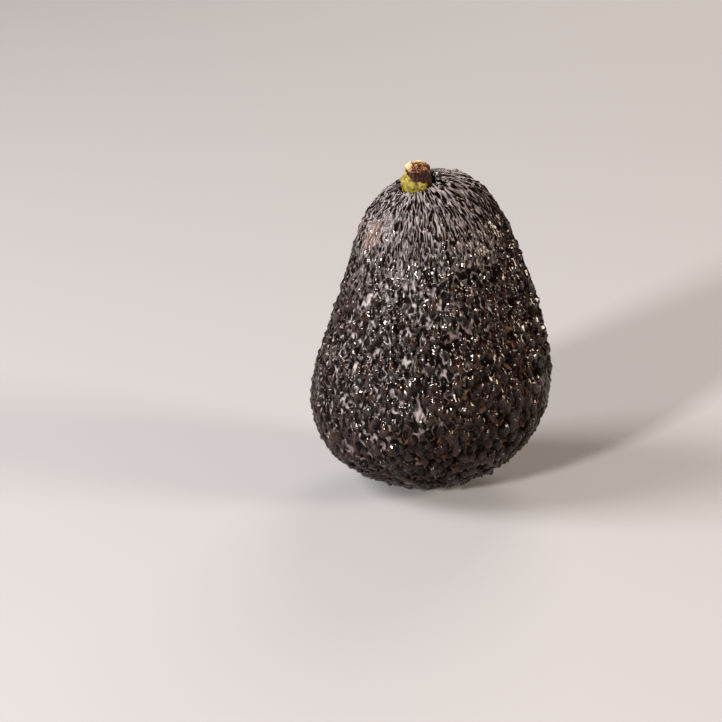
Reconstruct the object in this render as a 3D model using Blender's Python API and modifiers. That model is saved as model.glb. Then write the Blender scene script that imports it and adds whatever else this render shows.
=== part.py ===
"""A whole ripe avocado standing on its blossom end, with the stub of its stem still in the crown.

Metres, +Z up. The origin is the centre of the small flat spot that the fruit rests on.
+X is the side whose belly sits higher, and -Y is the front, which the crown slopes down to.
"""

import math

import bmesh
import bpy
from mathutils import Matrix, Vector

# Fruit
FRUIT_HEIGHT = 0.097  # from the flat spot to the top of the crown
FRUIT_WIDTH = 0.0735  # across the belly, left to right
FRUIT_DEPTH = 0.072  # across the belly, front to back
REST_SPOT_RADIUS = 0.009  # flat spot at the blossom end
CROWN_SLOPE_SIDE = 0.16  # rise per metre towards +X, at the crown
CROWN_SLOPE_BACK = 0.06  # rise per metre towards +Y, at the crown
CROWN_START = 0.6  # share of the height where that slope begins

# How full each flank is against a plain ellipse, at the base, lower belly, neck and crown
RIGHT_FULLNESS = (1.25, 1.185, 0.745, 0.865)
LEFT_FULLNESS = (1.45, 1.15, 0.34, 1.055)
FRONT_FULLNESS = (1.35, 1.15, 0.53, 0.95)
BACK_FULLNESS = (1.35, 1.18, 0.56, 0.97)

# Stem stub: a swollen collar at the fruit, a waist, and a broken tip that flares a little
STEM_LENGTH = 0.0084  # from the floor of its socket to the tip
COLLAR_RADIUS = 0.0050
COLLAR_HEIGHT = 0.0015  # from the socket's floor to the widest part of the collar
COLLAR_TUCK = math.radians(25)  # turn of the arc that tucks the collar in at its foot
WAIST_RADIUS = 0.0033
WAIST_HEIGHT = 0.0049
TIP_RADIUS = 0.0036
TIP_ROUNDING = 0.0010
STEM_LEAN_FRONT = math.radians(10)
STEM_LEAN_SIDE = math.radians(1)
STEM_SIDE = -0.0034  # where the stem leaves the crown
STEM_FRONT = -0.0042

# Socket that holds the stub
SOCKET_DEPTH = 0.0032
SOCKET_CLEARANCE = 0.0003

FRUIT_SEGMENTS = 56
FRUIT_RINGS = 40
STEM_SEGMENTS = 32
PROFILE_STEPS = 4  # straight stretches to each curve of the stub's outline
MERGE_DISTANCE = 0.00001


def clear_scene():
    for leftover in list(bpy.data.objects):
        bpy.data.objects.remove(leftover, do_unlink=True)


def new_collection(name):
    collection = bpy.data.collections.new(name)
    bpy.context.scene.collection.children.link(collection)
    return collection


def move_to(obj, collection):
    for home in list(obj.users_collection):
        home.objects.unlink(obj)
    collection.objects.link(obj)


def material(name, colour, roughness):
    made = bpy.data.materials.new(name)
    made.use_nodes = True
    shader = made.node_tree.nodes["Principled BSDF"]
    shader.inputs["Base Color"].default_value = (*colour, 1)
    shader.inputs["Roughness"].default_value = roughness
    shader.inputs["Metallic"].default_value = 0
    made.diffuse_color = (*colour, 1)
    return made


def bezier(values, share):
    a, b, c, d = values
    rest = 1 - share
    return a * rest**3 + 3 * b * share * rest**2 + 3 * c * share**2 * rest + d * share**3


def smooth_step(share):
    share = min(max(share, 0), 1)
    return share * share * (3 - 2 * share)


def flank_radius(share, angle):
    """Distance of the skin from the axis, for a fruit one unit in half width and a share of its height."""
    right, left, front, back = (
        bezier(fullness, share)
        for fullness in (RIGHT_FULLNESS, LEFT_FULLNESS, FRONT_FULLNESS, BACK_FULLNESS)
    )
    fullness = (
        (right + left + front + back) / 4
        + (right - left) / 2 * math.cos(angle)
        + (back - front) / 2 * math.sin(angle)
        + (right + left - front - back) / 4 * math.cos(2 * angle)
    )
    return 2 * math.sqrt(max(share * (1 - share), 0)) * fullness


def fruit_point(direction):
    """Where a point of a unit sphere goes on the fruit, before the fruit is brought to size."""
    share = (1 + direction.z) / 2
    angle = math.atan2(direction.y, direction.x)
    radius = flank_radius(share, angle) * FRUIT_WIDTH / 2
    x = radius * math.cos(angle)
    y = radius * math.sin(angle)
    rise = smooth_step((share - CROWN_START) / (1 - CROWN_START))
    slope = CROWN_SLOPE_SIDE * x + CROWN_SLOPE_BACK * y
    return Vector((x, y, FRUIT_HEIGHT * share + rise * slope))


def flatten_rest_spot(shape):
    """Cuts the base off level, where it is as wide as the spot it rests on, and centres the cut on the origin."""
    base_fullness = sum(f[0] for f in (RIGHT_FULLNESS, LEFT_FULLNESS, FRONT_FULLNESS, BACK_FULLNESS)) / 4
    cut_height = FRUIT_HEIGHT * (REST_SPOT_RADIUS / (FRUIT_WIDTH * base_fullness)) ** 2
    everything = shape.verts[:] + shape.edges[:] + shape.faces[:]
    cut = bmesh.ops.bisect_plane(
        shape,
        geom=everything,
        plane_co=(0, 0, cut_height),
        plane_no=(0, 0, -1),
        clear_outer=True,
    )
    rim = [item for item in cut["geom_cut"] if isinstance(item, bmesh.types.BMEdge)]
    bmesh.ops.contextual_create(shape, geom=rim)
    corners = {vertex for edge in rim for vertex in edge.verts}
    middle = [
        (max(v.co[axis] for v in corners) + min(v.co[axis] for v in corners)) / 2 for axis in range(3)
    ]
    bmesh.ops.translate(shape, vec=[-place for place in middle], verts=shape.verts)


def bring_to_size(shape):
    size = [
        max(v.co[axis] for v in shape.verts) - min(v.co[axis] for v in shape.verts) for axis in range(3)
    ]
    wanted = (FRUIT_WIDTH, FRUIT_DEPTH, FRUIT_HEIGHT)
    bmesh.ops.scale(shape, vec=[w / s for w, s in zip(wanted, size)], verts=shape.verts)


def make_fruit(collection):
    bpy.ops.mesh.primitive_uv_sphere_add(segments=FRUIT_SEGMENTS, ring_count=FRUIT_RINGS, radius=1)
    fruit = bpy.context.active_object
    fruit.name = "fruit"
    move_to(fruit, collection)
    shape = bmesh.new()
    shape.from_mesh(fruit.data)
    for vertex in shape.verts:
        vertex.co = fruit_point(vertex.co)
    flatten_rest_spot(shape)
    bring_to_size(shape)
    bmesh.ops.recalc_face_normals(shape, faces=shape.faces)
    shape.to_mesh(fruit.data)
    shape.free()
    fruit.data.shade_smooth()
    fruit.data.materials.append(material("avocado_skin", (0.035, 0.022, 0.018), 0.42))
    return fruit


def stem_place(fruit):
    """Matrix of the stem: its origin on the floor of the socket, its +Z along the stub."""
    above = Vector((STEM_SIDE, STEM_FRONT, 2 * FRUIT_HEIGHT))
    found, skin, _, _ = fruit.ray_cast(above, Vector((0, 0, -1)))
    assert found, "the stem stands beside the fruit, not over it"
    lean = Matrix.Rotation(STEM_LEAN_SIDE, 4, "Y") @ Matrix.Rotation(STEM_LEAN_FRONT, 4, "X")
    return Matrix.Translation(skin) @ lean @ Matrix.Translation((0, 0, -SOCKET_DEPTH))


def cut_socket(fruit, place, helpers):
    radius = COLLAR_RADIUS + SOCKET_CLEARANCE
    height = FRUIT_WIDTH
    bpy.ops.mesh.primitive_cylinder_add(vertices=STEM_SEGMENTS, radius=radius, depth=height)
    cutter = bpy.context.active_object
    cutter.name = "socket_cutter"
    cutter.matrix_world = place @ Matrix.Translation((0, 0, height / 2 - SOCKET_CLEARANCE))
    cutter.hide_render = True
    cutter.display_type = "WIRE"
    move_to(cutter, helpers)
    socket = fruit.modifiers.new("socket", "BOOLEAN")
    socket.operation = "DIFFERENCE"
    socket.object = cutter


def stem_profile():
    """Outline of the stub from the middle of its tip, down its outer side, to the middle of its foot."""
    shares = [step / PROFILE_STEPS for step in range(1, PROFILE_STEPS + 1)]
    tip_edge = STEM_LENGTH - TIP_ROUNDING
    profile = [(0, STEM_LENGTH), (TIP_RADIUS - TIP_ROUNDING, STEM_LENGTH)]
    for share in shares:
        turn = share * math.pi / 2
        reach = TIP_RADIUS - TIP_ROUNDING * (1 - math.sin(turn))
        profile.append((reach, tip_edge + TIP_ROUNDING * math.cos(turn)))
    for radius, height in ((WAIST_RADIUS, WAIST_HEIGHT), (COLLAR_RADIUS, COLLAR_HEIGHT)):
        from_radius, from_height = profile[-1]
        for share in shares:
            reach = from_radius + (radius - from_radius) * smooth_step(share)
            profile.append((reach, from_height + (height - from_height) * share))
    for share in shares:
        turn = share * COLLAR_TUCK
        drop = math.sin(turn) / math.sin(COLLAR_TUCK)
        profile.append((COLLAR_RADIUS * math.cos(turn), COLLAR_HEIGHT * (1 - drop)))
    return profile + [(0, 0)]


def make_stem(place, collection):
    points = [(x, 0, z) for x, z in stem_profile()]
    outline = bpy.data.meshes.new("stem_stub")
    outline.from_pydata(points, [(i, i + 1) for i in range(len(points) - 1)], [])
    stem = bpy.data.objects.new("stem_stub", outline)
    collection.objects.link(stem)
    stem.matrix_world = place
    turned = stem.modifiers.new("turned", "SCREW")
    turned.steps = turned.render_steps = STEM_SEGMENTS
    turned.use_merge_vertices = True
    turned.merge_threshold = MERGE_DISTANCE
    turned.use_smooth_shade = True
    outline.materials.append(material("stem_bark", (0.16, 0.10, 0.045), 0.8))
    return stem


def main():
    clear_scene()
    avocado = new_collection("avocado")
    helpers = new_collection("helpers")
    fruit = make_fruit(avocado)
    bpy.context.view_layer.update()
    place = stem_place(fruit)
    cut_socket(fruit, place, helpers)
    make_stem(place, avocado)


main()
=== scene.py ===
"""The looks of a whole ripe avocado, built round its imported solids: its pebbled skin and its stem stub.

Metres, +Z up, with the origin at the centre of the small flat spot that the fruit rests on.
"""

import math

import bmesh
import bpy
import numpy as np
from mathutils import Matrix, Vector, noise


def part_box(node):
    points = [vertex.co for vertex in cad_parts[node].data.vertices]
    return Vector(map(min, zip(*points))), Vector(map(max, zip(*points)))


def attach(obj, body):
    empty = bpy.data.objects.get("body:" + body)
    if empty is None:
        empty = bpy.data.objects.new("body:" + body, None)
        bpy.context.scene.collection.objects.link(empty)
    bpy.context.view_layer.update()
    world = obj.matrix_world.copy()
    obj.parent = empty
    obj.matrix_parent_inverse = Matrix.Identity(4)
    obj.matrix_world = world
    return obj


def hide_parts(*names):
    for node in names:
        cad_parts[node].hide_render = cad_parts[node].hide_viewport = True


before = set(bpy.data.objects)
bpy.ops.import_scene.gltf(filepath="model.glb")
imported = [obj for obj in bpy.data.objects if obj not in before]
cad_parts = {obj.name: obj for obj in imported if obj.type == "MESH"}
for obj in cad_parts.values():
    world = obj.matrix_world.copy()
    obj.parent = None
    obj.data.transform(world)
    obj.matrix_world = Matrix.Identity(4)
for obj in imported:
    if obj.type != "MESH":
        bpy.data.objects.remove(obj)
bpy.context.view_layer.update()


# ---------------------------------------------------------------------------------------------------
# Form of the fruit. One fleshy body, grown round its seed: a broad base, a belly that sits higher on
# the right, and a neck that ends in a crown sloping to the front left. The skin lies all over it.
# ---------------------------------------------------------------------------------------------------

fruit_low, fruit_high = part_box("fruit")

# The flanks of the solid: how full each one is against a plain ellipse, from base to crown
RIGHT_FULLNESS = (1.25, 1.185, 0.745, 0.865)
LEFT_FULLNESS = (1.45, 1.15, 0.34, 1.055)
FRONT_FULLNESS = (1.35, 1.15, 0.53, 0.95)
BACK_FULLNESS = (1.35, 1.18, 0.56, 0.97)
CROWN_SLOPE_SIDE = 0.16  # rise per metre towards +X, at the crown
CROWN_SLOPE_BACK = 0.06  # rise per metre towards +Y, at the crown
CROWN_START = 0.6  # share of the height where that slope begins
REST_SPOT_RADIUS = 0.009  # flat spot at the blossom end

SKIN_DETAIL = 7  # each side of the cube that becomes the skin is split in 2 ** 7 squares of about 0.5 mm
STEM_LEAN_FRONT = math.radians(10)
STEM_LEAN_SIDE = math.radians(1)
SOCKET_LIP = 0.0004  # how far the skin closes in over the shoulder of the stem's collar
SOCKET_MOUTH = 0.0006  # width of the rounded edge of the stem's socket
SCAR_RADIUS = 0.0022  # blossom scar, in the middle of the flat spot
SCAR_DEPTH = 0.0005


def smooth_step(share):
    share = np.clip(share, 0, 1)
    return share * share * (3 - 2 * share)


def bezier(values, share):
    a, b, c, d = values
    rest = 1 - share
    return a * rest**3 + 3 * b * share * rest**2 + 3 * c * share**2 * rest + d * share**3


def points_of(mesh):
    found = np.empty(len(mesh.vertices) * 3)
    mesh.vertices.foreach_get("co", found)
    return found.reshape(-1, 3)


def set_points(mesh, points):
    mesh.vertices.foreach_set("co", points.astype(np.float32).ravel())
    mesh.update()


def stem_axis_of_solid():
    """(middle of the foot, direction, length, radius) of the turned stub, read from its solid."""
    direction = Vector((
        math.sin(STEM_LEAN_SIDE) * math.cos(STEM_LEAN_FRONT),
        -math.sin(STEM_LEAN_FRONT),
        math.cos(STEM_LEAN_SIDE) * math.cos(STEM_LEAN_FRONT),
    ))
    across = direction.orthogonal().normalized()
    beside = direction.cross(across)
    points = points_of(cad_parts["stem_stub"].data)
    spans = [(points @ np.array(axis)) for axis in (across, beside, direction)]
    middle = across * float(spans[0].max() + spans[0].min()) / 2
    middle += beside * float(spans[1].max() + spans[1].min()) / 2
    foot = middle + direction * float(spans[2].min())
    return foot, direction, float(np.ptp(spans[2])), float(np.ptp(spans[0])) / 2


STEM_FOOT, STEM_AXIS, STEM_LENGTH, COLLAR_RADIUS = stem_axis_of_solid()


def sphere_directions(cube_points):
    """Points of a cube, moved onto a unit sphere with squares of nearly even size."""
    eased = np.tan(cube_points * math.pi / 4)
    return eased / np.linalg.norm(eased, axis=1)[:, None]


def fruit_form(directions):
    """The smooth surface of the fruit, brought to the size and place of its solid."""
    share = (1 + directions[:, 2]) / 2
    angle = np.arctan2(directions[:, 1], directions[:, 0])
    right, left, front, back = (
        bezier(f, share) for f in (RIGHT_FULLNESS, LEFT_FULLNESS, FRONT_FULLNESS, BACK_FULLNESS)
    )
    fullness = (
        (right + left + front + back) / 4
        + (right - left) / 2 * np.cos(angle)
        + (back - front) / 2 * np.sin(angle)
        + (right + left - front - back) / 4 * np.cos(2 * angle)
    )
    size = fruit_high - fruit_low
    radius = np.sqrt(np.clip(share * (1 - share), 0, None)) * fullness * size.x
    x = radius * np.cos(angle)
    y = radius * np.sin(angle)
    rise = smooth_step((share - CROWN_START) / (1 - CROWN_START))
    z = size.z * share + rise * (CROWN_SLOPE_SIDE * x + CROWN_SLOPE_BACK * y)
    base_fullness = np.mean([f[0] for f in (RIGHT_FULLNESS, LEFT_FULLNESS, FRONT_FULLNESS, BACK_FULLNESS)])
    cut_height = size.z * (REST_SPOT_RADIUS / (size.x * base_fullness)) ** 2
    points = np.stack([x, y, z], axis=1)
    points[:, 2] = (z - cut_height) * size.z / (z.max() - cut_height)
    for axis in (0, 1):
        low, high = points[:, axis].min(), points[:, axis].max()
        points[:, axis] = np.interp(points[:, axis], (low, high), (fruit_low[axis], fruit_high[axis]))
    points[:, 2] = np.maximum(points[:, 2], 0)
    return points


def open_socket(points):
    """Sinks the skin under the stem to the floor of its socket, with a rounded mouth."""
    axis = np.array(STEM_AXIS)
    out = points - np.array(STEM_FOOT)
    height = out @ axis
    side = np.linalg.norm(out - height[:, None] * axis, axis=1)
    kept = smooth_step((side - COLLAR_RADIUS + SOCKET_LIP) / SOCKET_MOUTH)
    sunk = np.where((height > 0) & (points[:, 2] > fruit_high.z / 2), (1 - kept) * height, 0)
    return points - sunk[:, None] * axis


def press_scar(points):
    side = np.linalg.norm(points[:, :2], axis=1)
    lift = SCAR_DEPTH * (1 - smooth_step(side / SCAR_RADIUS))
    at_base = points[:, 2] < fruit_high.z / 10
    points[:, 2] += np.where(at_base, lift, 0)
    return points


def body_mesh():
    bpy.ops.mesh.primitive_cube_add(size=2)
    cube = bpy.context.active_object
    split = cube.modifiers.new("split", "SUBSURF")
    split.subdivision_type = "SIMPLE"
    split.levels = split.render_levels = SKIN_DETAIL
    mesh = bpy.data.meshes.new_from_object(cube.evaluated_get(bpy.context.evaluated_depsgraph_get()))
    bpy.data.objects.remove(cube)
    form = fruit_form(sphere_directions(points_of(mesh)))
    set_points(mesh, press_scar(open_socket(form)))
    return mesh


# ---------------------------------------------------------------------------------------------------
# Pebbled skin. Thick and leathery, raised in warts of 2 to 3 mm that run into long ridges at the
# crown. Nearly black when ripe, with a waxy shine on the warts and a thin grey bloom between them,
# lightened by painted sheen on the upper left and darkened by painted shade in the creases.
# ---------------------------------------------------------------------------------------------------

PEBBLE_SIZE = 0.0025  # from wart to wart, round the fruit
PEBBLE_SQUASH = 0.62  # a wart is taller than wide: up the fruit, this share as many go to a metre
PEBBLE_HEIGHT = 0.0019  # from the floor of a crease to the top of a tall wart
PEBBLE_TOP = 0.98  # how high in the field of warts the surface of the solid lies
RIDGE_HEIGHT = 0.0013  # the same for a ridge near the stem
SPOT_EDGE = (0.0002, 0.003)  # heights over which warts come to stand out, above the flat spot
STRAND_SIZE = 0.0011  # fine raised strands that cross the warts and run out from the stem
STRAND_HEIGHT = 0.00025

# Ridges run out from the stem in two rings, thin ones at the crown and wider ones on the shoulders.
# Each ring has the width of a ridge, how much longer than wide it is, and how far from the stem it
# has about that width.
CROWN_RIDGE = (0.0015, 2.8, 0.012)
SHOULDER_RIDGE = (0.0020, 1.9, 0.024)
CROWN_RIDGE_END = (0.010, 0.017)  # distances from the stem over which the first runs into the second
SHOULDER_RIDGE_END = (0.017, 0.037)

BLOOM_AND_SHEEN_SIDE = (-0.75, -0.34, 0.57)  # the way that the side with the most bloom and painted sheen faces: up, front and left, towards the light
BLOOM_AND_SHEEN_REACH = (0.015, 0.050)  # distances that way, from the flat spot, over which the bloom and its painted sheen thicken
BLOOM_AND_SHEEN_CLOUDS = 0.07  # how far clouds break up the edge of the bloom and its painted sheen
CROWN_CLOUDS = 0.024  # how far they break up the end of the bloomed strands at the crown


def add(tree, kind, feeds=(), **settings):
    """Adds one node. feeds maps an input's name or number to a value, or to the output that feeds it."""
    node = tree.nodes.new(kind)
    for name, value in settings.items():
        setattr(node, name, value)
    for key, value in dict(feeds).items():
        if isinstance(value, bpy.types.NodeSocket):
            tree.links.new(value, node.inputs[key])
        else:
            node.inputs[key].default_value = value
    return node


def linear(hex_colour):
    """An sRGB hex value as linear red, green, blue and alpha."""
    shares = [int(hex_colour[i:i + 2], 16) / 255 for i in (1, 3, 5)]
    return (*(s / 12.92 if s <= 0.04045 else ((s + 0.055) / 1.055) ** 2.4 for s in shares), 1)


def per_metre(cell_mm):
    """The scale of a pattern whose cells are this many millimetres wide."""
    return 1000 / cell_mm


def times(tree, value, factor):
    return add(tree, "ShaderNodeMath", {0: value, 1: factor}, operation="MULTIPLY").outputs[0]


def blended(tree, share, near, far):
    return add(tree, "ShaderNodeMix", {"Factor": share, "A": near, "B": far}, data_type="FLOAT").outputs[0]


def all_over(tree, field, place, stem, size):
    """A field over the whole skin, where size is how many cells of it go to a wart: drawn out into
    ridges near the stem, and upright below."""
    out = add(tree, "ShaderNodeVectorMath", {0: place, 1: stem}, operation="SUBTRACT")
    away = add(tree, "ShaderNodeVectorMath", {0: out.outputs[0]}, operation="LENGTH").outputs["Value"]
    level = add(tree, "ShaderNodeVectorMath", {0: out.outputs[0], 1: (1, 1, 0)}, operation="MULTIPLY")
    heading = add(tree, "ShaderNodeVectorMath", {0: level.outputs[0]}, operation="NORMALIZE")
    heights = []
    for width, stretch, spread in (CROWN_RIDGE, SHOULDER_RIDGE):
        reach = add(tree, "ShaderNodeMath", {0: away, 1: size / (width * stretch),
                                             2: size * spread / width}, operation="MULTIPLY_ADD")
        drawn = add(tree, "ShaderNodeVectorMath", {0: heading.outputs[0], "Scale": reach.outputs[0]},
                    operation="SCALE")
        heights.append(field(tree, drawn.outputs[0]))
    cells = size / PEBBLE_SIZE
    upright = add(tree, "ShaderNodeVectorMath", {0: place, 1: (cells, cells, cells * PEBBLE_SQUASH)},
                  operation="MULTIPLY")
    heights.append(field(tree, upright.outputs[0]))
    whole = heights[0]
    for (start, end), further in zip((CROWN_RIDGE_END, SHOULDER_RIDGE_END), heights[1:]):
        share = add(tree, "ShaderNodeMapRange", {"Value": away, "From Min": start, "From Max": end},
                    interpolation_type="SMOOTHSTEP")
        whole = blended(tree, share.outputs[0], whole, further)
    return whole


def wart_layer(tree, place, scale, small, spread, edge):
    """Height from 0 to 1 of round-shouldered warts with level skin between them. Their radii run from
    small to small + spread, in cells of the layer, and edge is how far their sides reach in. The lowest
    are a little over half as high as the tallest."""
    cells = add(tree, "ShaderNodeTexVoronoi", {"Vector": place, "Scale": scale}, feature="F1")
    chance = add(tree, "ShaderNodeSeparateXYZ", {0: cells.outputs["Color"]})
    radius = add(tree, "ShaderNodeMath", {0: chance.outputs[0], 1: spread, 2: small},
                 operation="MULTIPLY_ADD")
    inside = add(tree, "ShaderNodeMath", {0: radius.outputs[0], 1: cells.outputs["Distance"]},
                 operation="SUBTRACT")
    rise = add(tree, "ShaderNodeMapRange", {"Value": inside.outputs[0], "From Max": edge},
               interpolation_type="SMOOTHSTEP")
    tall = add(tree, "ShaderNodeMapRange", {"Value": chance.outputs[1], "To Min": 0.55})
    return times(tree, rise.outputs[0], tall.outputs[0])


def wart_field(tree, place):
    """Height from 0 to 1.2 of warts, about one to a unit of place, with small ones on and between them."""
    warp = add(tree, "ShaderNodeTexNoise", {"Vector": place, "Scale": 1.4, "Detail": 2.0})
    centred = add(tree, "ShaderNodeVectorMath", {0: warp.outputs["Color"], 1: (0.5, 0.5, 0.5)},
                  operation="SUBTRACT")
    bent = add(tree, "ShaderNodeVectorMath", {0: centred.outputs[0], 1: (0.8, 0.8, 0.8), 2: place},
               operation="MULTIPLY_ADD").outputs[0]
    large = wart_layer(tree, bent, 1.0, 0.80, 0.30, 0.90)
    small = wart_layer(tree, bent, 2.3, 0.50, 0.50, 0.80)
    return add(tree, "ShaderNodeMath", {0: large, 1: 0.80, 2: times(tree, small, 0.40)},
               operation="MULTIPLY_ADD").outputs[0]


def strand_field(tree, place):
    """Height from 0 to 1 of fine strands that branch and join, with hollows about a unit of place apart."""
    folds = add(tree, "ShaderNodeTexNoise", {"Vector": place, "Scale": 0.5, "Detail": 1.0,
                                             "Roughness": 0.4, "Distortion": 0.25})
    centred = add(tree, "ShaderNodeMath", {0: folds.outputs["Fac"], 1: 0.5}, operation="SUBTRACT")
    crease = add(tree, "ShaderNodeMath", {0: centred.outputs[0]}, operation="ABSOLUTE")
    return add(tree, "ShaderNodeMapRange", {"Value": crease.outputs[0], "From Max": 0.13, "To Min": 1.0,
                                            "To Max": 0.0}, interpolation_type="SMOOTHSTEP").outputs[0]


def skin_tree():
    tree = bpy.data.node_groups.new("pebbled_skin", "GeometryNodeTree")
    for name, kind in (
        ("Geometry", "NodeSocketGeometry"),
        ("Stem", "NodeSocketVector"),
        ("Pebble Height", "NodeSocketFloat"),
        ("Ridge Height", "NodeSocketFloat"),
        ("Material", "NodeSocketMaterial"),
    ):
        tree.interface.new_socket(name, in_out="INPUT", socket_type=kind)
    tree.interface.new_socket("Geometry", in_out="OUTPUT", socket_type="NodeSocketGeometry")
    given = add(tree, "NodeGroupInput").outputs
    place = add(tree, "GeometryNodeInputPosition").outputs[0]

    # Warts, pebbled below and drawn into ridges at the crown
    warts = all_over(tree, wart_field, place, given["Stem"], 1.0)
    away = add(tree, "ShaderNodeVectorMath", {0: place, 1: given["Stem"]}, operation="DISTANCE")
    share = add(tree, "ShaderNodeMapRange", {"Value": away.outputs["Value"],
                                             "From Min": SHOULDER_RIDGE_END[0],
                                             "From Max": SHOULDER_RIDGE_END[1]})
    tall = blended(tree, share.outputs[0], given["Ridge Height"], given["Pebble Height"])
    # In patches of a centimetre or so, they stand lower or taller
    patchy = add(tree, "ShaderNodeTexNoise", {"Vector": place, "Scale": per_metre(13.3), "Detail": 2.0})
    strength = add(tree, "ShaderNodeMapRange", {"Value": patchy.outputs["Fac"], "From Min": 0.35,
                                                "From Max": 0.65, "To Min": 0.65, "To Max": 1.2})

    # The tops of tall warts lie about on the surface of the solid, and the rest is sunk below it
    sunk = add(tree, "ShaderNodeMath", {0: warts, 1: PEBBLE_TOP}, operation="SUBTRACT")
    scaled = add(tree, "ShaderNodeMath", {0: sunk.outputs[0], 1: tall}, operation="MULTIPLY")
    varied = add(tree, "ShaderNodeMath", {0: scaled.outputs[0], 1: strength.outputs[0]},
                 operation="MULTIPLY")
    # Nothing stands out from the flat spot: there, warts are pressed level
    parts = add(tree, "ShaderNodeSeparateXYZ", {0: place})
    clear = add(tree, "ShaderNodeMapRange", {"Value": parts.outputs["Z"], "From Min": SPOT_EDGE[0],
                                             "From Max": SPOT_EDGE[1]})
    proud = add(tree, "ShaderNodeMath", {0: varied.outputs[0], 1: 0.0}, operation="MAXIMUM")
    low = add(tree, "ShaderNodeMath", {0: varied.outputs[0], 1: 0.0}, operation="MINIMUM")
    rise = add(tree, "ShaderNodeMath", {0: proud.outputs[0], 1: clear.outputs[0], 2: low.outputs[0]},
               operation="MULTIPLY_ADD")
    normal = add(tree, "GeometryNodeInputNormal")
    step = add(tree, "ShaderNodeVectorMath", {0: normal.outputs[0], "Scale": rise.outputs[0]},
               operation="SCALE")

    kept = add(tree, "GeometryNodeStoreNamedAttribute",
               {"Geometry": given["Geometry"], "Name": "grown_place", "Value": place},
               data_type="FLOAT_VECTOR", domain="POINT")
    kept = add(tree, "GeometryNodeStoreNamedAttribute",
               {"Geometry": kept.outputs[0], "Name": "wart", "Value": warts},
               data_type="FLOAT", domain="POINT")
    moved = add(tree, "GeometryNodeSetPosition", {"Geometry": kept.outputs[0], "Offset": step.outputs[0]})
    smooth = add(tree, "GeometryNodeSetShadeSmooth", {"Geometry": moved.outputs[0]})
    real = add(tree, "GeometryNodeRealizeInstances", {"Geometry": smooth.outputs[0]})
    painted = add(tree, "GeometryNodeSetMaterial", {"Geometry": real.outputs[0],
                                                    "Material": given["Material"]})
    add(tree, "NodeGroupOutput", {"Geometry": painted.outputs[0]})
    return tree


def grown(mesh, name, tree, values):
    """A plain mesh object: the mesh after a geometry node tree with these input values."""
    seed = bpy.data.objects.new(name + "_seed", mesh)
    bpy.context.scene.collection.objects.link(seed)
    growth = seed.modifiers.new("growth", "NODES")
    growth.node_group = tree
    sockets = {s.name: s.identifier for s in tree.interface.items_tree if s.in_out == "INPUT"}
    for key, value in values.items():
        growth[sockets[key]] = value
    bpy.context.view_layer.update()
    made = bpy.data.meshes.new_from_object(seed.evaluated_get(bpy.context.evaluated_depsgraph_get()))
    bpy.data.objects.remove(seed)
    made.name = name
    piece = bpy.data.objects.new(name, made)
    bpy.context.scene.collection.objects.link(piece)
    return piece


def spot(tree, place, middle, radius):
    """A round patch with a broken edge: 1 in the middle, 0 outside."""
    out = add(tree, "ShaderNodeVectorMath", {0: place, 1: middle}, operation="DISTANCE")
    ragged = add(tree, "ShaderNodeTexNoise", {"Vector": place, "Scale": per_metre(3.125), "Detail": 3.0})
    edge = add(tree, "ShaderNodeMath", {0: ragged.outputs["Fac"], 1: radius * 1.2, 2: out.outputs["Value"]},
               operation="MULTIPLY_ADD")
    return add(tree, "ShaderNodeMapRange", {"Value": edge.outputs[0], "From Min": radius * 1.1,
                                            "From Max": radius * 1.7, "To Min": 1.0, "To Max": 0.0},
               interpolation_type="SMOOTHSTEP").outputs[0]


def mixed(tree, share, first, second):
    """The first colour, with this share of the second."""
    return add(tree, "ShaderNodeMix", {0: share, 6: first, 7: second}, data_type="RGBA").outputs[2]


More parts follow.
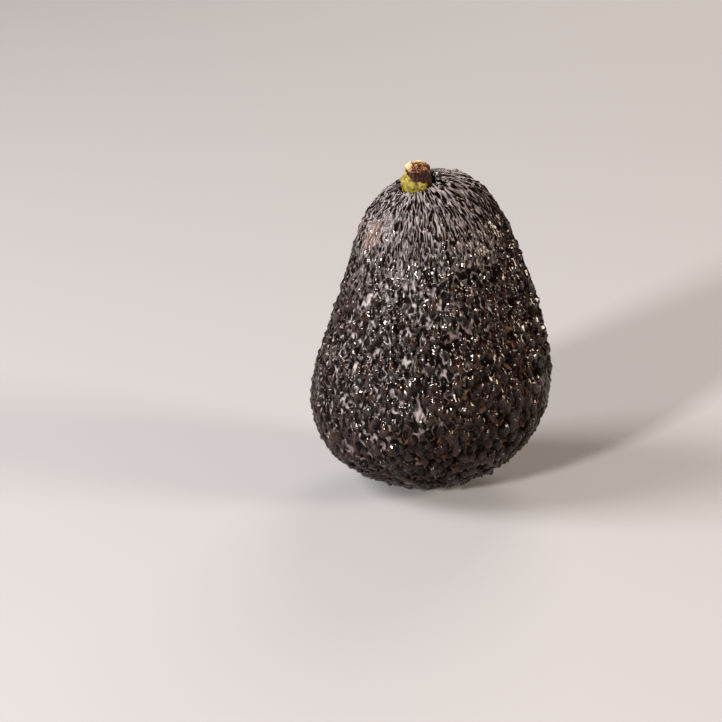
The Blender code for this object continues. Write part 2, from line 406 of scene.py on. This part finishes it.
def ripe_skin_material():
    """Ripe avocado skin, grown and never polished. Its warts are nearly black and wear a natural wax, so
    each has one small sharp glint, and the creases between them are matt with grey bloom or brown cork.
    The grey is painted lighter towards the upper left as painted sheen, and painted shade turns the
    hollows and the foot of each wart near black."""
    finish = bpy.data.materials.new("ripe_avocado_skin")
    finish.use_nodes = True
    tree = finish.node_tree
    shader = tree.nodes["Principled BSDF"]
    place = add(tree, "ShaderNodeAttribute", attribute_name="grown_place").outputs["Vector"]
    height = add(tree, "ShaderNodeAttribute", attribute_name="wart").outputs["Fac"]
    broken = add(tree, "ShaderNodeTexNoise", {"Vector": place, "Scale": per_metre(0.909), "Detail": 1.0})
    warts = add(tree, "ShaderNodeMath", {0: broken.outputs["Fac"], 1: 0.30, 2: height},
                operation="MULTIPLY_ADD").outputs[0]
    strands = all_over(tree, strand_field, place, STEM_FOOT, PEBBLE_SIZE / STRAND_SIZE)

    # Grey bloom lies in the creases, thickest on the left shoulder, where nothing rubbed it off. That
    # lighter upper left side is also painted sheen, where the light falls. Where it is gone, the creases
    # are brown
    toward = add(tree, "ShaderNodeVectorMath", {0: place, 1: BLOOM_AND_SHEEN_SIDE}, operation="DOT_PRODUCT")
    cloud = add(tree, "ShaderNodeTexNoise", {"Vector": place, "Scale": per_metre(9.09), "Detail": 3.0})
    uneven_cloud = add(tree, "ShaderNodeMath", {0: cloud.outputs["Fac"], 1: 0.5},
                       operation="SUBTRACT").outputs[0]
    uneven = add(tree, "ShaderNodeMath", {0: uneven_cloud, 1: BLOOM_AND_SHEEN_CLOUDS, 2: toward.outputs["Value"]},
                 operation="MULTIPLY_ADD")
    bloom_and_sheen = add(tree, "ShaderNodeMapRange", {"Value": uneven.outputs[0], "From Min": BLOOM_AND_SHEEN_REACH[0],
                                             "From Max": BLOOM_AND_SHEEN_REACH[1], "To Min": 0.06},
                interpolation_type="SMOOTHSTEP")
    web = mixed(tree, bloom_and_sheen.outputs[0], linear("#4D3729"), linear("#989293"))
    low = add(tree, "ShaderNodeMapRange", {"Value": warts, "From Min": 0.12, "From Max": 0.50},
              interpolation_type="SMOOTHSTEP")
    high = add(tree, "ShaderNodeMapRange", {"Value": warts, "From Min": 0.40, "From Max": 1.10},
               interpolation_type="SMOOTHSTEP")
    # Painted shade: near black in the hollows between the strands, and in a band round the foot of each
    # wart, below its own dark brown top
    hollow_shade = add(tree, "ShaderNodeMapRange", {"Value": strands, "From Min": 0.2, "From Max": 0.8,
                                              "To Min": 0.95, "To Max": 0.0})
    between = mixed(tree, hollow_shade.outputs[0], web, linear("#0A0504"))
    colour = mixed(tree, low.outputs[0], between, linear("#060302"))
    colour = mixed(tree, high.outputs[0], colour, linear("#25120A"))
    # Clouds of brown, green and purple on the tops of the warts
    for width_mm, start, end, tint, most in (
        (18.2, 0.46, 0.66, "#301B11", 0.5),
        (11.1, 0.55, 0.72, "#2A2A1B", 0.4),
        (26.3, 0.52, 0.70, "#2C2025", 0.4),
    ):
        cloud = add(tree, "ShaderNodeTexNoise", {"Vector": place, "Scale": per_metre(width_mm),
                                                 "Detail": 3.0})
        amount = add(tree, "ShaderNodeMapRange", {"Value": cloud.outputs["Fac"], "From Min": start,
                                                  "From Max": end, "To Max": most})
        colour = mixed(tree, times(tree, amount.outputs[0], high.outputs[0]), colour, linear(tint))
    # Bloom also stays on the strands at the crown, and is rubbed off the skin between them
    away = add(tree, "ShaderNodeVectorMath", {0: place, 1: STEM_FOOT}, operation="DISTANCE")
    broken_away = add(tree, "ShaderNodeMath", {0: uneven_cloud, 1: CROWN_CLOUDS,
                                               2: away.outputs["Value"]}, operation="MULTIPLY_ADD")
    crown = add(tree, "ShaderNodeMapRange", {"Value": broken_away.outputs[0],
                                             "From Min": CROWN_RIDGE_END[0],
                                             "From Max": SHOULDER_RIDGE_END[1],
                                             "To Min": 0.78, "To Max": 0.08})
    ridge = add(tree, "ShaderNodeMapRange", {"Value": strands, "From Min": 0.35, "From Max": 0.95})
    on_strand = times(tree, crown.outputs[0], ridge.outputs[0])
    colour = mixed(tree, on_strand, colour, web)
    # A pinkish scuff and a blue-grey smear on the left shoulder, and the corky scar of the blossom
    lifted = add(tree, "ShaderNodeMapRange", {"Value": strands, "To Min": 0.35})
    for middle, radius, tint, most in (
        ((-0.0186, -0.0120, 0.0807), 0.0060, "#89766F", 0.65),
        ((-0.0144, -0.0163, 0.0861), 0.0050, "#857E82", 0.8),
        ((0.0, 0.0, 0.0), SCAR_RADIUS, "#5B4633", 0.9),
    ):
        patch = times(tree, spot(tree, place, middle, radius), lifted.outputs[0])
        colour = mixed(tree, times(tree, patch, most), colour, linear(tint))
    tree.links.new(colour, shader.inputs["Base Color"])

    # Creases and bloomed strands are matt, and the wax on the warts is smooth but for a fine grain
    fine = add(tree, "ShaderNodeTexNoise", {"Vector": place, "Scale": per_metre(0.4545), "Detail": 2.0})
    dull = add(tree, "ShaderNodeMapRange", {"Value": low.outputs[0], "To Min": 0.60, "To Max": 0.11})
    speckled = add(tree, "ShaderNodeMath", {0: fine.outputs["Fac"], 1: 0.10, 2: dull.outputs[0]},
                   operation="MULTIPLY_ADD")
    rough = add(tree, "ShaderNodeMath", {0: on_strand, 1: 0.35, 2: speckled.outputs[0]},
                operation="MULTIPLY_ADD")
    tree.links.new(rough.outputs[0], shader.inputs["Roughness"])
    waxed = add(tree, "ShaderNodeMapRange", {"Value": warts, "From Min": 0.30, "From Max": 0.75})
    bare = add(tree, "ShaderNodeMapRange", {"Value": on_strand, "To Min": 1.0, "To Max": 0.25})
    shine = times(tree, waxed.outputs[0], bare.outputs[0])
    tree.links.new(times(tree, shine, 0.20), shader.inputs["Specular IOR Level"])
    tree.links.new(times(tree, shine, 0.60), shader.inputs["Coat Weight"])
    shader.inputs["Coat Roughness"].default_value = 0.06
    creased = add(tree, "ShaderNodeBump", {"Height": strands, "Distance": STRAND_HEIGHT})
    grain = add(tree, "ShaderNodeBump", {"Height": broken.outputs["Fac"], "Strength": 0.6,
                                         "Distance": 0.0003, "Normal": creased.outputs[0]})
    tree.links.new(grain.outputs[0], shader.inputs["Normal"])
    return finish


skin = grown(body_mesh(), "skin", skin_tree(), {
    "Stem": STEM_FOOT,
    "Pebble Height": PEBBLE_HEIGHT,
    "Ridge Height": RIDGE_HEIGHT,
    "Material": ripe_skin_material(),
})
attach(skin, "root")
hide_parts("fruit")


# ---------------------------------------------------------------------------------------------------
# Stem stub. The end of the woody stalk that the fruit hung from: a swollen collar of living tissue,
# scraped yellow-green on the left, a waist in dried dark bark, and a torn tip of pale tan fibres.
# ---------------------------------------------------------------------------------------------------

STEM_SIDES = 144
STEM_RINGS = 84
TIP_RINGS = 30
# Outline of the stub, as shares of its length and of the collar's radius, foot to tip
STEM_OUTLINE = (
    (0.00, 0.90), (0.09, 0.97), (0.18, 0.99), (0.28, 0.985), (0.38, 0.93), (0.47, 0.81), (0.54, 0.70),
    (0.61, 0.66), (0.70, 0.67), (0.78, 0.705), (0.84, 0.72), (0.88, 0.68), (0.91, 0.60),
)
COLLAR_END = (0.35, 0.55)  # shares of the length over which the collar gives way to the waist
TIP_START = (0.76, 0.91)  # and over which the waist gives way to the torn tip
COLLAR_LUMPS = 0.07  # how far the lumps of the collar stand out, as a share of its radius
BARK_FOLDS = 0.075  # how far the folds of the waist do
TORN_DEPTH = 0.0014  # how uneven the torn fibres of the tip are


def stem_frame():
    """The stub's own axes: across to the right, back, and along it."""
    along = np.array(STEM_AXIS)
    across = np.cross(np.array((0.0, 1.0, 0.0)), along)
    across /= np.linalg.norm(across)
    return across, np.cross(along, across), along


def lumps(points, size, seed):
    """Smooth noise from -1 to 1 at each point, for lumps of this size in metres."""
    return np.array([noise.noise(Vector(p) / size + Vector((seed, 0, 0))) for p in points])


def stem_mesh():
    """A grid turned round the stub's outline and over its torn tip, uneven all over."""
    across, back, along = stem_frame()
    shares, radii = np.array(STEM_OUTLINE).T
    levels = np.linspace(0, shares[-1], STEM_RINGS)
    # The straight stretches of the outline are rounded by averaging each ring with its neighbours
    radius = np.interp(levels, shares, radii)
    for _ in range(6):
        radius[1:-1] = (radius[:-2] + 2 * radius[1:-1] + radius[2:]) / 4
    angle = np.linspace(0, 2 * math.pi, STEM_SIDES, endpoint=False)
    rings = list(zip(levels, radius))
    inward = np.linspace(1, 0, TIP_RINGS, endpoint=False)[1:]
    edge = radius[-1]
    rings += [(shares[-1] + (1 - shares[-1]) * (1 - share**2), edge * share) for share in inward]
    rings.append((1.0, 0.0))

    level = np.repeat([r[0] for r in rings], STEM_SIDES)
    reach = np.repeat([r[1] for r in rings], STEM_SIDES)
    turn = np.tile(angle, len(rings))
    on_tip = np.repeat(np.arange(len(rings)) >= STEM_RINGS, STEM_SIDES)
    round_place = np.stack([np.cos(turn), np.sin(turn), np.zeros(len(turn))], axis=1)
    flat = round_place * (reach * COLLAR_RADIUS)[:, None]
    flat[:, 2] = level * STEM_LENGTH

    # Broad lumps on the collar, folds along the waist, wrinkles across it, and torn fibres on the tip
    swell = smooth_step((COLLAR_END[1] - level) / (COLLAR_END[1] - COLLAR_END[0]))
    bulge = lumps(flat, 0.0026, 3) * 1.2 + lumps(flat, 0.0011, 5) * 0.7 + lumps(flat, 0.0005, 6) * 0.25
    folds = np.sin(turn * 9 + 3 * lumps(flat, 0.003, 7)) * 0.5 + lumps(flat * (1, 1, 0.25), 0.0007, 9) * 0.8
    rings_across = lumps(flat * (0.35, 0.35, 1), 0.0005, 11) * 0.4
    stretch = 1 + swell * COLLAR_LUMPS * bulge + (1 - swell) * BARK_FOLDS * (folds + rings_across)
    last_ring = stretch.reshape(-1, STEM_SIDES)[STEM_RINGS - 1]
    stretch = np.where(on_tip, np.tile(last_ring, len(rings)), stretch)
    torn = lumps(flat * (1, 1, 0.4), 0.0013, 13) * 0.7 + lumps(flat * (1, 2.2, 0.4), 0.0006, 17) * 0.5
    rim = smooth_step((level - TIP_START[0]) / (TIP_START[1] - TIP_START[0]))
    dip = rim * (torn - 0.15) * TORN_DEPTH
    points = (
        np.array(STEM_FOOT)
        + across * (flat[:, 0] * stretch)[:, None]
        + back * (flat[:, 1] * stretch)[:, None]
        + along * (flat[:, 2] + dip)[:, None]
    )
    count = len(rings) * STEM_SIDES
    index = np.arange(count - STEM_SIDES).reshape(-1, STEM_SIDES)
    beside = np.roll(index, -1, axis=1)
    quads = np.stack([index, beside, beside + STEM_SIDES, index + STEM_SIDES], axis=-1).reshape(-1, 4)
    mesh = bpy.data.meshes.new("stem")
    mesh.from_pydata(points, [], [tuple(range(STEM_SIDES))[::-1]] + quads.tolist())
    for name, values in (("level", level), ("turn", np.cos(turn)), ("front", -np.sin(turn)),
                         ("torn", torn)):
        kept = mesh.attributes.new(name, "FLOAT", "POINT")
        kept.data.foreach_set("value", values.astype(np.float32))
    shape = bmesh.new()
    shape.from_mesh(mesh)
    bmesh.ops.remove_doubles(shape, verts=shape.verts, dist=0.000005)
    bmesh.ops.recalc_face_normals(shape, faces=shape.faces)
    shape.to_mesh(mesh)
    shape.free()
    mesh.shade_smooth()
    return mesh


def stalk_material():
    """Dried avocado stalk: dull dark bark, waxy living tissue where it is scraped, matt torn wood."""
    finish = bpy.data.materials.new("dried_avocado_stalk")
    finish.use_nodes = True
    tree = finish.node_tree
    shader = tree.nodes["Principled BSDF"]
    place = add(tree, "ShaderNodeTexCoord").outputs["Object"]
    level = add(tree, "ShaderNodeAttribute", attribute_name="level").outputs["Fac"]
    turn = add(tree, "ShaderNodeAttribute", attribute_name="turn").outputs["Fac"]
    front = add(tree, "ShaderNodeAttribute", attribute_name="front").outputs["Fac"]
    torn = add(tree, "ShaderNodeAttribute", attribute_name="torn").outputs["Fac"]
    mottle = add(tree, "ShaderNodeTexNoise", {"Vector": place, "Scale": per_metre(1.4286), "Detail": 4.0})
    speckle = add(tree, "ShaderNodeTexNoise", {"Vector": place, "Scale": per_metre(0.4167), "Detail": 3.0})

    along = add(tree, "ShaderNodeVectorMath", {0: place, 1: (1.0, 1.0, 0.3)}, operation="MULTIPLY")
    fibres = add(tree, "ShaderNodeTexNoise", {"Vector": along.outputs[0], "Scale": per_metre(0.5882),
                                              "Detail": 3.0})
    bark = add(tree, "ShaderNodeValToRGB", {"Fac": fibres.outputs["Fac"]})
    bark.color_ramp.elements[0].position = 0.42
    bark.color_ramp.elements[0].color = linear("#0D0504")
    bark.color_ramp.elements[1].position = 0.68
    bark.color_ramp.elements[1].color = linear("#4A2A1A")
    green = add(tree, "ShaderNodeValToRGB", {"Fac": mottle.outputs["Fac"]})
    green.color_ramp.elements[0].position = 0.38
    green.color_ramp.elements[0].color = linear("#464504")
    green.color_ramp.elements[1].position = 0.62
    green.color_ramp.elements[1].color = linear("#908238")

    # Scraped from the left round the front, higher on the left, with a broken edge
    lean = add(tree, "ShaderNodeMath", {0: turn, 1: -0.11, 2: 0.31}, operation="MULTIPLY_ADD")
    wavy = add(tree, "ShaderNodeMath", {0: mottle.outputs["Fac"], 1: 0.40, 2: lean.outputs[0]},
               operation="MULTIPLY_ADD")
    below = add(tree, "ShaderNodeMath", {0: wavy.outputs[0], 1: level}, operation="SUBTRACT")
    low = add(tree, "ShaderNodeMapRange", {"Value": below.outputs[0], "From Min": 0.0, "From Max": 0.05})
    facing = add(tree, "ShaderNodeMath", {0: front, 1: 0.55, 2: times(tree, turn, -0.85)},
                 operation="MULTIPLY_ADD")
    ragged = add(tree, "ShaderNodeMath", {0: mottle.outputs["Fac"], 1: 0.7, 2: facing.outputs[0]},
                 operation="MULTIPLY_ADD")
    near = add(tree, "ShaderNodeMapRange", {"Value": ragged.outputs[0], "From Min": 0.22,
                                            "From Max": 0.42})
    scraped = add(tree, "ShaderNodeMath", {0: low.outputs[0], 1: near.outputs[0]}, operation="MULTIPLY")
    colour = mixed(tree, scraped.outputs[0], bark.outputs["Color"], green.outputs["Color"])

    # Brown fibres on the torn tip, darker as painted shade where the tip dips in, and cream where
    # they stand up at its rim, on the left and behind
    fibre_and_pit_shade = add(tree, "ShaderNodeValToRGB", {"Fac": torn})
    fibre_and_pit_shade.color_ramp.elements[0].position = 0.05
    fibre_and_pit_shade.color_ramp.elements[0].color = linear("#3A1E10")
    fibre_and_pit_shade.color_ramp.elements[1].position = 0.30
    fibre_and_pit_shade.color_ramp.elements[1].color = linear("#8E6042")
    rim = add(tree, "ShaderNodeMapRange", {"Value": level, "From Min": 0.985, "From Max": 0.94})
    behind = add(tree, "ShaderNodeMath", {0: front, 1: turn}, operation="ADD")
    outer = add(tree, "ShaderNodeMapRange", {"Value": behind.outputs[0], "From Min": 0.3, "From Max": -0.5})
    edge = add(tree, "ShaderNodeMath", {0: rim.outputs[0], 1: outer.outputs[0]}, operation="MULTIPLY")
    frayed = add(tree, "ShaderNodeMath", {0: edge.outputs[0], 1: 0.45, 2: speckle.outputs["Fac"]},
                 operation="MULTIPLY_ADD")
    pale = add(tree, "ShaderNodeMapRange", {"Value": frayed.outputs[0], "From Min": 0.55,
                                            "From Max": 0.85, "To Max": 0.85})
    wood = mixed(tree, pale.outputs[0], fibre_and_pit_shade.outputs["Color"], linear("#D6BC90"))
    worn = add(tree, "ShaderNodeMath", {0: mottle.outputs["Fac"], 1: 0.55, 2: level},
               operation="MULTIPLY_ADD")
    tip = add(tree, "ShaderNodeMapRange", {"Value": worn.outputs[0], "From Min": 1.02, "From Max": 1.12})
    colour = mixed(tree, tip.outputs[0], colour, wood)
    tree.links.new(colour, shader.inputs["Base Color"])

    rough = add(tree, "ShaderNodeMapRange", {"Value": scraped.outputs[0], "To Min": 0.85, "To Max": 0.50})
    tree.links.new(rough.outputs[0], shader.inputs["Roughness"])
    shader.inputs["Specular IOR Level"].default_value = 0.35
    fibrous = add(tree, "ShaderNodeBump", {"Height": fibres.outputs["Fac"], "Distance": 0.0004})
    grain = add(tree, "ShaderNodeBump", {"Height": speckle.outputs["Fac"], "Strength": 0.6,
                                         "Distance": 0.0003, "Normal": fibrous.outputs[0]})
    tree.links.new(grain.outputs[0], shader.inputs["Normal"])
    return finish


stem = bpy.data.objects.new("stem", stem_mesh())
bpy.context.scene.collection.objects.link(stem)
stem.data.materials.append(stalk_material())
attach(stem, "root")
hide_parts("stem_stub")


# ---------------------------------------------------------------------------------------------------
# Studio. A level pale paper floor under faint even light, and four soft lamps: a key at the front left,
# a broad one on the left, one behind, and one low on the right that picks out the right flank.
# ---------------------------------------------------------------------------------------------------

CAMERA_ELEVATION = math.radians(17.5)
CAMERA_DISTANCE = 0.75
FRAME_WIDTH = 0.2166  # what the picture is wide, at the fruit
LOOK_LEFT = 0.0198  # how far the middle of the picture is from the middle of the fruit
LOOK_DOWN = 0.0104


def look_at(obj, place, target):
    obj.location = place
    obj.rotation_euler = (target - place).to_track_quat("-Z", "Y").to_euler()


def studio_floor():
    bpy.ops.mesh.primitive_plane_add(size=8)
    floor = bpy.context.active_object
    floor.name = "floor"
    # Matt paper: it scatters light evenly and mirrors nothing
    paper = bpy.data.materials.new("pale_paper")
    paper.use_nodes = True
    shader = paper.node_tree.nodes["Principled BSDF"]
    shader.inputs["Base Color"].default_value = linear("#A9ABAE")
    shader.inputs["Roughness"].default_value = 0.8
    floor.data.materials.append(paper)


def area_light(name, place, size, power, colour):
    lamp = bpy.data.lights.new(name, "AREA")
    lamp.size = size
    lamp.energy = power
    lamp.color = linear(colour)[:3]
    made = bpy.data.objects.new(name, lamp)
    bpy.context.scene.collection.objects.link(made)
    look_at(made, Vector(place), Vector((0, 0, 0.05)))


def studio_camera():
    camera = bpy.data.objects.new("camera", bpy.data.cameras.new("camera"))
    bpy.context.scene.collection.objects.link(camera)
    middle = Vector((0, 0, fruit_high.z / 2))
    back = Vector((0, -math.cos(CAMERA_ELEVATION), math.sin(CAMERA_ELEVATION)))
    up = Vector((0, math.sin(CAMERA_ELEVATION), math.cos(CAMERA_ELEVATION)))
    target = middle - LOOK_LEFT * Vector((1, 0, 0)) - LOOK_DOWN * up
    look_at(camera, middle + CAMERA_DISTANCE * back, target)
    camera.data.lens = camera.data.sensor_width * CAMERA_DISTANCE / FRAME_WIDTH
    bpy.context.scene.camera = camera


studio_floor()
area_light("key", (-0.90, -1.45, 0.62), 0.20, 44, "#FFF6F0")
area_light("softbox", (-1.20, -0.20, 0.95), 0.8, 25, "#FCF4F2")
area_light("back", (0.30, 1.30, 0.80), 0.7, 8, "#FFF2E6")
area_light("rim", (1.20, -0.30, 0.42), 0.4, 14, "#FFE8D2")
studio_camera()
world = bpy.data.worlds.new("studio")
world.use_nodes = True
world.node_tree.nodes["Background"].inputs["Color"].default_value = linear("#EADBCB")
world.node_tree.nodes["Background"].inputs["Strength"].default_value = 0.10
bpy.context.scene.world = world
bpy.context.scene.view_settings.view_transform = "Standard"
bpy.context.scene.view_settings.look = "Medium High Contrast"
